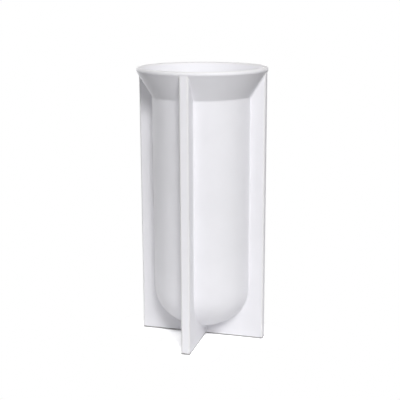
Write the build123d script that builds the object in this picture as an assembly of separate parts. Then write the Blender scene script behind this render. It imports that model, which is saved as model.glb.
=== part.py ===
from build123d import *
from math import asin, atan2, degrees, hypot, tan
import os

# Driving dimensions, in millimetres. The axis of the vase is Z, and the floor is z = 0.
height = 280.0            # floor to the top of the lip
wall = 5.5                # thickness of the vessel, the same all over
barrel_radius = 50.4      # outside of the straight barrel
mouth_radius = 65.9       # outermost point of the lip
flare_height = 28.8       # crease under the flare to the top of the lip
crease_radius = 4.5       # outside rounding of that crease
lip_rounding = 2.6        # rounding of both edges of the lip
lip_share = 0.48          # most of the wall that the rounding of one lip edge can take
floor_gap = 10.0          # floor to the underside of the round bottom
bottom_depth = 43.8       # underside of the bottom to where it turns straight into the barrel
collar_height = 14.0      # crease to the seam under it, on the outside
bottom_collar = 8.0       # straight top of the bottom piece, up to its seam, on the outside
seam_bevel = 4.0          # how far a seam climbs on its way in through the wall
fin_thickness = 9.3       # the same for all of the fins
lip_overhang = 0.3        # how far the lip stands out past the fins
edge_rounding = 1.8       # rounding of the fins' upright edges
foot_rounding = 1.2       # rounding round the fins' feet
corner_radius = 2.4       # hollow rounding in the upright corners between the fins
cove_radius = 2.1         # hollow rounding where the fins meet the vessel
cove_share = 0.9          # most of a corner's rounding that a cove running into it can take
slip_gap = 0.03           # room for the slip between the fins and the vessel

# Sizes that follow from them. Both rounded edges of the lip have to fit side by side in the wall, and the
# coves have to pass through the corners between the fins.
lip_edge = min(lip_rounding, lip_share * wall)
root_cove = min(cove_radius, cove_share * corner_radius)
fin_reach = mouth_radius - lip_overhang
fin_top = height - lip_edge
crease_height = height - flare_height
top_seam = crease_height - collar_height
bottom_seam = floor_gap + bottom_depth + bottom_collar

# The flare starts at the crease and leans out until it touches the round of the lip.
lip_run = mouth_radius - lip_edge - barrel_radius
lip_climb = height - lip_edge - crease_height
flare_angle = atan2(lip_run, lip_climb) + asin(lip_edge / hypot(lip_run, lip_climb))

# The bottom is a four-centre oval: a wide crown on the axis, then a tighter shoulder up into the barrel.
oval_diagonal = hypot(barrel_radius, bottom_depth)
crown_radius = oval_diagonal * (oval_diagonal + barrel_radius - bottom_depth) / (2 * bottom_depth)
shoulder_radius = oval_diagonal * (oval_diagonal - barrel_radius + bottom_depth) / (2 * barrel_radius)
crown_angle = degrees(atan2(bottom_depth, barrel_radius))
shoulder_angle = degrees(atan2(barrel_radius, bottom_depth))


def half_section(inset):
    """Half of the vessel cut down its axis and filled to the top, drawn this far inside its outer face,
    or outside it where the inset is negative."""
    radius = barrel_radius - inset
    crease = crease_height + inset * tan(flare_angle / 2)
    crease_arc = crease_radius + inset
    crease_start = crease - crease_arc * tan(flare_angle / 2)
    mouth = radius + (height - crease) * tan(flare_angle)

    crown = JernArc((0, floor_gap + inset), (1, 0), crown_radius - inset, crown_angle)
    shoulder = JernArc(crown @ 1, crown % 1, shoulder_radius - inset, shoulder_angle)
    barrel = Line(shoulder @ 1, (radius, crease_start))
    bend = JernArc(barrel @ 1, (0, 1), crease_arc, -degrees(flare_angle))
    flare = Line(bend @ 1, (mouth, height))
    rim = Line(flare @ 1, (0, height))
    axis = Line(rim @ 1, crown @ 0)
    return make_face([crown, shoulder, barrel, bend, flare, rim, axis])


def below_seam(seam):
    """Everything in the half section under a bevelled seam that starts at this height on the outside."""
    slope = seam_bevel / wall
    outside = barrel_radius + wall
    return make_face(Polyline(
        (0, 0), (outside, 0), (outside, seam - wall * slope), (0, seam + barrel_radius * slope), close=True))


def turned(section):
    """Solid made by turning a half section round the axis of the vase."""
    return revolve(Plane.XZ * section, Axis.Z)


def vessel_sections():
    """Half sections of the flared mouth, the barrel and the bottom, and of the whole vessel filled in."""
    hollow = half_section(wall)
    shell = half_section(0) - hollow
    lip_corners = shell.vertices().group_by(Axis.Y)[-1]
    shell = fillet(lip_corners, lip_edge)
    under_mouth = below_seam(top_seam)
    under_barrel = below_seam(bottom_seam)
    mouth = shell - under_mouth
    barrel = (shell & under_mouth) - under_barrel
    bottom = shell & under_barrel
    return mouth, barrel, bottom, shell + hollow


def crossed_fins():
    """Four plain fins crossing on the axis, with their free edges and the corners between them rounded."""
    plan = Rectangle(2 * fin_reach, fin_thickness) + Rectangle(fin_thickness, 2 * fin_reach)
    inner = plan.vertices().filter_by(lambda corner: hypot(corner.X, corner.Y) < fin_thickness)
    plan = fillet(inner, corner_radius)
    outer = plan.vertices().filter_by(lambda corner: hypot(corner.X, corner.Y) > fin_reach)
    plan = fillet(outer, edge_rounding)
    fins = extrude(plan, fin_top)
    foot = fins.faces().sort_by(Axis.Z)[0]
    return fillet(foot.edges(), foot_rounding)


def scribed_fin(vessel):
    """The front fin, cut to the vessel with room for slip, coved along its root and mitred on the axis."""
    fins = crossed_fins()
    body = vessel + fins
    roots = new_edges(vessel, fins, combined=body)
    coved = fillet(roots, root_cove)
    quarter = extrude(make_face(Polyline(
        (0, 0), (-mouth_radius, -mouth_radius), (mouth_radius, -mouth_radius), close=True)), height)
    seat = turned(half_section(-slip_gap))
    return coved & (quarter - seat)


mouth, barrel, bottom, filled = vessel_sections()
front_fin = scribed_fin(turned(filled))

nodes = {
    "flared_mouth": turned(mouth),
    "vessel_barrel": turned(barrel),
    "round_bottom": turned(bottom),
}
for quarter_turns, side in enumerate(("front", "right", "back", "left")):
    nodes[side + "_fin"] = Rot(0, 0, 90 * quarter_turns) * front_fin

os.makedirs("parts", exist_ok=True)
for name, solid in nodes.items():
    export_step(solid, f"parts/{name}.step")
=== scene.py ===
import math

import bmesh
import bpy
from bpy.props import FloatProperty, FloatVectorProperty, PointerProperty
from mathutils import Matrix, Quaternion, Vector


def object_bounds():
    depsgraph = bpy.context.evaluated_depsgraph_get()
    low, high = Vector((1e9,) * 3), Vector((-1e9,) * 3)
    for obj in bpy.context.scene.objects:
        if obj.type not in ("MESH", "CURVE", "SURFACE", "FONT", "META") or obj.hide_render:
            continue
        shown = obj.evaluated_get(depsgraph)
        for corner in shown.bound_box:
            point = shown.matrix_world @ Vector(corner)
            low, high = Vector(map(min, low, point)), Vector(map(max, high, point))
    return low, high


bl_info = {
    "name": "Finned Standing Vase",
    "version": (1, 0, 0),
    "blender": (4, 5, 0),
    "location": "View3D > Sidebar > Vase",
    "description": "Glazes a round vase that stands on four fins, and sets up its studio",
    "category": "Object",
}

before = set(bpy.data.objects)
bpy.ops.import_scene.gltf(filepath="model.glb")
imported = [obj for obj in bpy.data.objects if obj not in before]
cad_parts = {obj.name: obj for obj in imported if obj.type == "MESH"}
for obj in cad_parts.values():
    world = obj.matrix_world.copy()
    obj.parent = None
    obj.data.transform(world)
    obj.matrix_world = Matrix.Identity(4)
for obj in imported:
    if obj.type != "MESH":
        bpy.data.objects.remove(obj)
cad_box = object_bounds()

VESSEL = ("flared_mouth", "vessel_barrel", "round_bottom")
FINS = ("front_fin", "right_fin", "back_fin", "left_fin")

# Sizes and shares that stay the same, with lengths in metres where no other unit is given.
LIP_TOP = cad_box[1].z
MIDDLE = Vector((0, 0, LIP_TOP / 2))
LOW_QUARTER = LIP_TOP / 4   # up to here the outer end of a fin is plain, well clear of the mouth
FLOOR_TOUCH = 0.00001       # points this near the floor lie on it
END_SHARE = 0.9             # past this share of its reach, a fin's points lie at its outer end
CLOUD_EDGES = (0.3, 0.7)    # noise at which a cloud starts, and at which it is full
CLOUD_DETAIL = 3            # layers of finer noise in the clouds
RELIEF_DETAIL = 1           # layers of finer noise in the waves and the dimples
BUMP_DISTANCE = 1.0         # takes the heights of the glaze as they are
SENSOR_WIDTH = 36           # in millimetres
FLOOR_SIDES = 96
FULL_WHITE = (1, 1, 1, 1)

# Soft square lamps: name, degrees to the right of the front, degrees up, side in metres, power in watts.
LAMPS = (
    ("key_lamp", 19, 41, 0.35, 9.3),
    ("right_key_lamp", 33, 33, 0.35, 6.7),
    ("front_lamp", 5, 25, 0.35, 2.3),
    ("fill_lamp", -45, 12, 0.35, 1.8),
    ("right_lamp", 75, 50, 0.6, 4.3),
    ("left_lamp", -120, 20, 0.6, 6.2),
    ("low_left_lamp", -130, 4, 0.6, 4.1),
    ("rim_lamp", -150, 4, 0.6, 6.5),
    ("back_lamp", 165, 12, 1.0, 4.3),
)


def fin_size(points):
    """Reach and half thickness of the front fin, from those of its points that are given."""
    reach = max(-point.y for point in points)
    return reach, max(point.x for point in points if point.y < -END_SHARE * reach)


fin_points = [vertex.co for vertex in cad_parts["front_fin"].data.vertices]
FIN_REACH, FIN_HALF = fin_size([point for point in fin_points if point.z < LOW_QUARTER])
FOOT_REACH, FOOT_HALF = fin_size([point for point in fin_points if point.z < FLOOR_TOUCH])


class VaseGlaze(bpy.types.PropertyGroup):
    """Colours and textures of the glaze"""

    white: FloatVectorProperty(
        name="White", description="Colour of the glaze where it lies thick", subtype="COLOR",
        min=0, max=1, default=(0.85, 0.845, 0.88))
    cloudy_white: FloatVectorProperty(
        name="Cloudy white", description="Colour of the glaze in its faint clouds", subtype="COLOR",
        min=0, max=1, default=(0.825, 0.82, 0.853))
    thin_white: FloatVectorProperty(
        name="Thin white", description="Colour of the glaze where it runs thin over an edge", subtype="COLOR",
        min=0, max=1, default=(0.82, 0.81, 0.82))
    # The bare clay colour is kept darker than the pale clay itself, so the wiped band also paints contact
    # shade along the bottom edges of the feet.
    shaded_bare_clay: FloatVectorProperty(
        name="Shaded bare clay", description="Colour of the clay where the feet are wiped clean", subtype="COLOR",
        min=0, max=1, default=(0.6, 0.585, 0.57))
    cloud_size: FloatProperty(
        name="Cloud size", description="Width of a faint cloud in the glaze", unit="LENGTH",
        min=0.001, default=0.045)
    wave_size: FloatProperty(
        name="Wave size", description="Width of a slow wave in the wall", unit="LENGTH",
        min=0.001, default=0.03)
    wave_depth: FloatProperty(
        name="Wave depth", description="Depth of the slow waves", unit="LENGTH",
        min=0, default=0.00006)
    peel_size: FloatProperty(
        name="Peel size", description="Width of one dimple of the glaze", unit="LENGTH",
        min=0.0005, default=0.0035)
    peel_depth: FloatProperty(
        name="Peel depth", description="Depth of the dimples", unit="LENGTH",
        min=0, default=0.000006)
    smoothest: FloatProperty(
        name="Smoothest", description="Lowest roughness of the satin glaze", subtype="FACTOR",
        min=0, max=1, default=0.52)
    roughest: FloatProperty(
        name="Roughest", description="Highest roughness of the satin glaze", subtype="FACTOR",
        min=0, max=1, default=0.62)
    clay_roughness: FloatProperty(
        name="Clay roughness", description="Roughness of the bare clay", subtype="FACTOR",
        min=0, max=1, default=0.9)
    shine: FloatProperty(
        name="Shine", description="How strongly the satin glaze mirrors its surroundings", subtype="FACTOR",
        min=0, max=1, default=0.12)
    thin_width: FloatProperty(
        name="Thin width", description="How far from an edge the glaze runs thin", unit="LENGTH",
        min=0.0001, default=0.003)
    # The wiped band is also the height of the painted contact shade on the feet.
    wiped_and_shaded_height: FloatProperty(
        name="Wiped height", description="How far up the feet the glaze is wiped off", unit="LENGTH",
        min=0.0001, default=0.0014)


class VaseStage(bpy.types.PropertyGroup):
    """Camera, lamps and floor of the studio"""

    camera_place: FloatVectorProperty(
        name="Camera place", description="Where the camera stands", subtype="TRANSLATION", unit="LENGTH",
        default=(0.2342, -0.8376, 0.3481))
    camera_target: FloatVectorProperty(
        name="Camera target", description="What the camera points at", subtype="TRANSLATION", unit="LENGTH",
        default=(-0.00259, -0.00074, 0.1434))
    camera_roll: FloatProperty(
        name="Camera roll", description="How far the camera leans over", subtype="ANGLE",
        default=math.radians(-0.22))
    camera_lens: FloatProperty(
        name="Camera lens", description="Focal length of the camera", unit="CAMERA",
        min=1, default=77.9)
    floor_radius: FloatProperty(
        name="Floor radius", description="Radius of the round white table top", unit="LENGTH",
        min=0.1, default=0.4)
    floor_white: FloatProperty(
        name="Floor white", description="How much of the light the floor throws back", subtype="FACTOR",
        min=0, max=1, default=0.9)
    floor_seen: FloatProperty(
        name="Floor seen", description="The same as the camera sees it near the feet, where only shade shows",
        min=0, default=1.6)
    # These three settings paint a dark contact shadow line onto the floor right around the feet.
    painted_contact_shade: FloatProperty(
        name="Floor contact", description="The same as the camera sees it right under the feet",
        min=0, default=0.2)
    painted_contact_width: FloatProperty(
        name="Contact width", description="How far out from the feet their dark line reaches", unit="LENGTH",
        min=0.0005, default=0.0055)
    painted_contact_squeeze: FloatProperty(
        name="Contact squeeze", description="How many times narrower their dark line is to left and right",
        min=1, default=2.0)
    shade_width: FloatProperty(
        name="Shade width", description="How far out from the feet any shade can be seen", unit="LENGTH",
        min=0.001, default=0.03)
    lamp_distance: FloatProperty(
        name="Lamp distance", description="From the middle of the vase to each lamp", unit="LENGTH",
        min=0.5, default=1.5)
    lamp_level: FloatProperty(
        name="Lamp level", description="How many times its listed power each lamp burns at", subtype="FACTOR",
        min=0, max=2, default=1.0)


def new_material(name):
    """An empty node material."""
    material = bpy.data.materials.new(name)
    material.use_nodes = True
    material.node_tree.nodes.clear()
    return material


def add_node(tree, kind, inputs, **settings):
    """Put a node into a tree, set its properties, and link or set its inputs."""
    node = tree.nodes.new(kind)
    for name, value in settings.items():
        setattr(node, name, value)
    for name, value in inputs.items():
        if isinstance(value, bpy.types.NodeSocket):
            tree.links.new(value, node.inputs[name])
        else:
            node.inputs[name].default_value = value
    return node


def ramp(tree, value, start, end, low=0.0, high=1.0):
    """Smooth step of a value from low at its start to high at its end."""
    return add_node(tree, "ShaderNodeMapRange", {
        "Value": value, "From Min": start, "From Max": end, "To Min": low, "To Max": high,
    }, interpolation_type="SMOOTHSTEP").outputs["Result"]


def noise(tree, spot, size, detail):
    """Soft noise with spots about this wide."""
    return add_node(tree, "ShaderNodeTexNoise", {
        "Vector": spot, "Scale": 1 / size, "Detail": detail,
    }).outputs["Fac"]


def math_node(tree, operation, *values):
    """Result of a sum on numbers or sockets."""
    return add_node(tree, "ShaderNodeMath", dict(enumerate(values)), operation=operation).outputs["Value"]


def vector_math(tree, operation, *values):
    """Outputs of a sum on vectors or sockets."""
    return add_node(tree, "ShaderNodeVectorMath", dict(enumerate(values)), operation=operation).outputs


def mix_colour(tree, share, first, second):
    """Colour between two others, given as sockets or as red, green and blue."""
    mix = add_node(tree, "ShaderNodeMixRGB", {"Fac": share})
    for name, colour in (("Color1", first), ("Color2", second)):
        if isinstance(colour, bpy.types.NodeSocket):
            tree.links.new(colour, mix.inputs[name])
        else:
            mix.inputs[name].default_value = (*colour, 1)
    return mix.outputs["Color"]


def mix_shaders(tree, share, first, second):
    """Shader between two others."""
    return add_node(tree, "ShaderNodeMixShader", {"Fac": share, 1: first, 2: second}).outputs["Shader"]


def glaze_group(glaze):
    """Shared node group of the satin glaze, in real sizes, thinner or wiped off where its masks say so, with
    the wiped band in a darker colour that is partly painted contact shade.
    """
    if "satin_glaze" in bpy.data.node_groups:
        return bpy.data.node_groups["satin_glaze"]
    tree = bpy.data.node_groups.new("satin_glaze", "ShaderNodeTree")
    for name in ("Thin", "Wiped and shaded"):
        tree.interface.new_socket(name=name, in_out="INPUT", socket_type="NodeSocketFloat")
    for name, kind in (("Colour", "Color"), ("Roughness", "Float"), ("Height", "Float")):
        tree.interface.new_socket(name=name, in_out="OUTPUT", socket_type="NodeSocket" + kind)
    masks = tree.nodes.new("NodeGroupInput").outputs
    spot = tree.nodes.new("ShaderNodeTexCoord").outputs["Object"]
    clouds = noise(tree, spot, glaze.cloud_size, CLOUD_DETAIL)
    waves = noise(tree, spot, glaze.wave_size, RELIEF_DETAIL)
    peel = noise(tree, spot, glaze.peel_size, RELIEF_DETAIL)

    glazed = mix_colour(tree, ramp(tree, clouds, *CLOUD_EDGES), glaze.white, glaze.cloudy_white)
    thinned = mix_colour(tree, masks["Thin"], glazed, glaze.thin_white)
    # The wiped band is darker grey: partly bare clay, partly painted contact shade.
    colour = mix_colour(tree, masks["Wiped and shaded"], thinned, glaze.shaded_bare_clay)
    satin = ramp(tree, clouds, *CLOUD_EDGES, glaze.smoothest, glaze.roughest)
    bare = ramp(tree, masks["Wiped and shaded"], 0, 1, 0, glaze.clay_roughness)
    roughness = math_node(tree, "MAXIMUM", satin, bare)
    slow = math_node(tree, "MULTIPLY", waves, glaze.wave_depth)
    height = math_node(tree, "MULTIPLY_ADD", peel, glaze.peel_depth, slow)
    add_node(tree, "NodeGroupOutput", {"Colour": colour, "Roughness": roughness, "Height": height})
    return tree


def lip_mask(tree, glaze, place):
    """Where the glaze runs thin over the lip."""
    return ramp(tree, place["Z"], LIP_TOP - glaze.thin_width, LIP_TOP)


def fin_lengths(tree, place):
    """How far out along the nearest fin a spot lies, and how far off the middle of that fin."""
    across = math_node(tree, "ABSOLUTE", place["X"])
    along = math_node(tree, "ABSOLUTE", place["Y"])
    return math_node(tree, "MAXIMUM", across, along), math_node(tree, "MINIMUM", across, along)


def edge_mask(tree, glaze, place):
    """Where the glaze runs thin over the upright edges of the fins."""
    out, off = fin_lengths(tree, place)
    near_end = ramp(tree, out, FIN_REACH - glaze.thin_width, FIN_REACH)
    near_side = ramp(tree, off, FIN_HALF - glaze.thin_width, FIN_HALF)
    return math_node(tree, "MULTIPLY", near_end, near_side)


def foot_shade_mask(tree, glaze, place):
    """Where the glaze is wiped off the feet, a band that is also painted darker as contact shade."""
    return ramp(tree, place["Z"], glaze.wiped_and_shaded_height, 0)


def glaze_material(name, glaze, thin_mask, wiped_and_shaded_mask=None):
    """Satin white glaze with its own masks."""
    material = new_material(name)
    tree = material.node_tree
    spot = tree.nodes.new("ShaderNodeTexCoord").outputs["Object"]
    place = add_node(tree, "ShaderNodeSeparateXYZ", {"Vector": spot}).outputs
    masks = {"Thin": thin_mask(tree, glaze, place)}
    if wiped_and_shaded_mask:
        masks["Wiped and shaded"] = wiped_and_shaded_mask(tree, glaze, place)
    coat = tree.nodes.new("ShaderNodeGroup")
    coat.node_tree = glaze_group(glaze)
    for mask, value in masks.items():
        tree.links.new(value, coat.inputs[mask])
    bump = add_node(tree, "ShaderNodeBump", {"Height": coat.outputs["Height"], "Distance": BUMP_DISTANCE})
    shader = add_node(tree, "ShaderNodeBsdfPrincipled", {
        "Base Color": coat.outputs["Colour"], "Roughness": coat.outputs["Roughness"],
        "Specular IOR Level": glaze.shine, "Normal": bump.outputs["Normal"],
    })
    add_node(tree, "ShaderNodeOutputMaterial", {"Surface": shader.outputs["BSDF"]})
    return material


def finish_nodes(names, material):
    """Give CAD nodes their finish."""
    for name in names:
        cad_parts[name].material_slots[0].material = material


class VASE_OT_glaze_vessel(bpy.types.Operator):
    """Glaze the flared mouth, the barrel and the round bottom"""

    bl_idname = "vase.glaze_vessel"
    bl_label = "Glaze Vessel"

    def execute(self, context):
        finish_nodes(VESSEL, glaze_material("vessel_glaze", context.scene.vase_glaze, lip_mask))
        return {"FINISHED"}


class VASE_OT_glaze_fins(bpy.types.Operator):
    """Glaze the four fins and leave their feet bare, in a darker band that is partly painted contact shade"""

    bl_idname = "vase.glaze_fins"
    bl_label = "Glaze Fins"

    def execute(self, context):
        finish_nodes(FINS, glaze_material("fin_glaze", context.scene.vase_glaze, edge_mask, foot_shade_mask))
        return {"FINISHED"}


def make_camera(stage):
    """Camera at the viewing angle of the picture."""
    camera = bpy.data.objects.new("camera", bpy.data.cameras.new("camera"))
    bpy.context.scene.collection.objects.link(camera)
    look = Vector(stage.camera_target) - Vector(stage.camera_place)
    camera.location = stage.camera_place
    camera.rotation_mode = "QUATERNION"
    camera.rotation_quaternion = look.to_track_quat("-Z", "Y") @ Quaternion((0, 0, 1), stage.camera_roll)
    camera.data.lens = stage.camera_lens
    camera.data.sensor_width = SENSOR_WIDTH
    bpy.context.scene.camera = camera


def seen_rays(tree):
    """One for rays from the camera, also by way of a mirror or glass, and nought for rays that only
    carry light."""
    path = tree.nodes.new("ShaderNodeLightPath").outputs
    mirrored = math_node(tree, "MAXIMUM", path["Is Glossy Ray"], path["Is Transmission Ray"])
    return math_node(tree, "MAXIMUM", path["Is Camera Ray"], mirrored)


def foot_gap(tree, spot, squeeze=1):
    """How far a spot of the floor lies outside the feet, with the way across counted this many times."""
    folded = vector_math(tree, "ABSOLUTE", spot)["Vector"]
    gaps = []
    for half_size in ((FOOT_REACH, FOOT_HALF, 0), (FOOT_HALF, FOOT_REACH, 0)):
        past = vector_math(tree, "SUBTRACT", folded, half_size)["Vector"]
        outside = vector_math(tree, "MAXIMUM", past, (0, 0, 0))["Vector"]
        counted = vector_math(tree, "MULTIPLY", outside, (squeeze, 1, 0))["Vector"]
        gaps.append(vector_math(tree, "LENGTH", counted)["Value"])
    return math_node(tree, "MINIMUM", *gaps)


def floor_material(stage):
    """White table top with the shade of the vase near its feet and a painted dark contact shadow line right
    around them, plain white to the camera further out, and clear to a camera under it."""
    material = new_material("white_floor")
    tree = material.node_tree
    spot = tree.nodes.new("ShaderNodeTexCoord").outputs["Object"]
    seen = seen_rays(tree)
    # Painted contact shadow: near the feet the floor's colour for the camera falls to a dark line, narrower
    # to left and right.
    contact = foot_gap(tree, spot, stage.painted_contact_squeeze)
    near = ramp(tree, contact, 0, stage.painted_contact_width, stage.painted_contact_shade, stage.floor_seen)
    tone = ramp(tree, seen, 0, 1, stage.floor_white, near)
    shaded = add_node(tree, "ShaderNodeBsdfDiffuse", {"Color": tone}).outputs["BSDF"]
    white = add_node(tree, "ShaderNodeEmission", {"Color": FULL_WHITE, "Strength": 1}).outputs["Emission"]
    far = ramp(tree, foot_gap(tree, spot), stage.painted_contact_width, stage.shade_width)
    top = mix_shaders(tree, math_node(tree, "MULTIPLY", far, seen), shaded, white)
    under = tree.nodes.new("ShaderNodeNewGeometry").outputs["Backfacing"]
    clear = tree.nodes.new("ShaderNodeBsdfTransparent").outputs["BSDF"]
    floor = mix_shaders(tree, math_node(tree, "MULTIPLY", under, seen), top, clear)
    add_node(tree, "ShaderNodeOutputMaterial", {"Surface": floor})
    return material


def make_floor(stage):
    """Round table top under the vase."""
    mesh = bpy.data.meshes.new("floor")
    shape = bmesh.new()
    bmesh.ops.create_circle(shape, cap_ends=True, segments=FLOOR_SIDES, radius=stage.floor_radius)
    shape.to_mesh(mesh)
    shape.free()
    mesh.materials.append(floor_material(stage))
    floor = bpy.data.objects.new("floor", mesh)
    bpy.context.scene.collection.objects.link(floor)


def make_backdrop():
    """White all round, which is seen and mirrored but gives no other light."""
    world = bpy.data.worlds.new("studio")
    world.use_nodes = True
    tree = world.node_tree
    tree.nodes.clear()
    white = add_node(tree, "ShaderNodeBackground", {"Color": FULL_WHITE, "Strength": seen_rays(tree)})
    add_node(tree, "ShaderNodeOutputWorld", {"Surface": white.outputs["Background"]})
    bpy.context.scene.world = world


def make_lamp(name, azimuth, elevation, distance, size, power):
    """Square soft lamp that points at the middle of the vase, from this many degrees to the right of the
    front and up."""
    lamp = bpy.data.objects.new(name, bpy.data.lights.new(name, "AREA"))
    bpy.context.scene.collection.objects.link(lamp)
    turn = math.radians(azimuth)
    climb = math.radians(elevation)
    outward = Vector((math.sin(turn) * math.cos(climb), -math.cos(turn) * math.cos(climb), math.sin(climb)))
    lamp.location = MIDDLE + distance * outward
    lamp.rotation_mode = "QUATERNION"
    lamp.rotation_quaternion = (-outward).to_track_quat("-Z", "Y")
    lamp.data.size = size
    lamp.data.energy = power


class VASE_OT_set_stage(bpy.types.Operator):
    """Set up the camera, the white floor and backdrop, and the lamps"""

    bl_idname = "vase.set_stage"
    bl_label = "Set Stage"

    def execute(self, context):
        stage = context.scene.vase_stage
        context.scene.view_settings.view_transform = "Standard"
        make_camera(stage)
        make_floor(stage)
        make_backdrop()
        for name, azimuth, elevation, size, power in LAMPS:
            make_lamp(name, azimuth, elevation, stage.lamp_distance, size, stage.lamp_level * power)
        return {"FINISHED"}


class VASE_PT_panel(bpy.types.Panel):
    """Steps and settings of the vase"""

    bl_idname = "VASE_PT_panel"
    bl_label = "Finned Vase"
    bl_space_type = "VIEW_3D"
    bl_region_type = "UI"
    bl_category = "Vase"

    def draw(self, context):
        layout = self.layout
        for operator in OPERATORS:
            layout.operator(operator.bl_idname)
        for settings in (context.scene.vase_glaze, context.scene.vase_stage):
            box = layout.box()
            for name in settings.__annotations__:
                box.prop(settings, name)


OPERATORS = (VASE_OT_glaze_vessel, VASE_OT_glaze_fins, VASE_OT_set_stage)
CLASSES = (VaseGlaze, VaseStage, *OPERATORS, VASE_PT_panel)


def register():
    """Add the steps, the panel and the settings to Blender."""
    for cls in CLASSES:
        bpy.utils.register_class(cls)
    bpy.types.Scene.vase_glaze = PointerProperty(type=VaseGlaze)
    bpy.types.Scene.vase_stage = PointerProperty(type=VaseStage)


def unregister():
    """Take them out again."""
    del bpy.types.Scene.vase_stage
    del bpy.types.Scene.vase_glaze
    for cls in reversed(CLASSES):
        bpy.utils.unregister_class(cls)


def main():
    """Build the whole scene."""
    register()
    bpy.ops.vase.glaze_vessel()
    bpy.ops.vase.glaze_fins()
    bpy.ops.vase.set_stage()


if __name__ == "__main__":
    main()
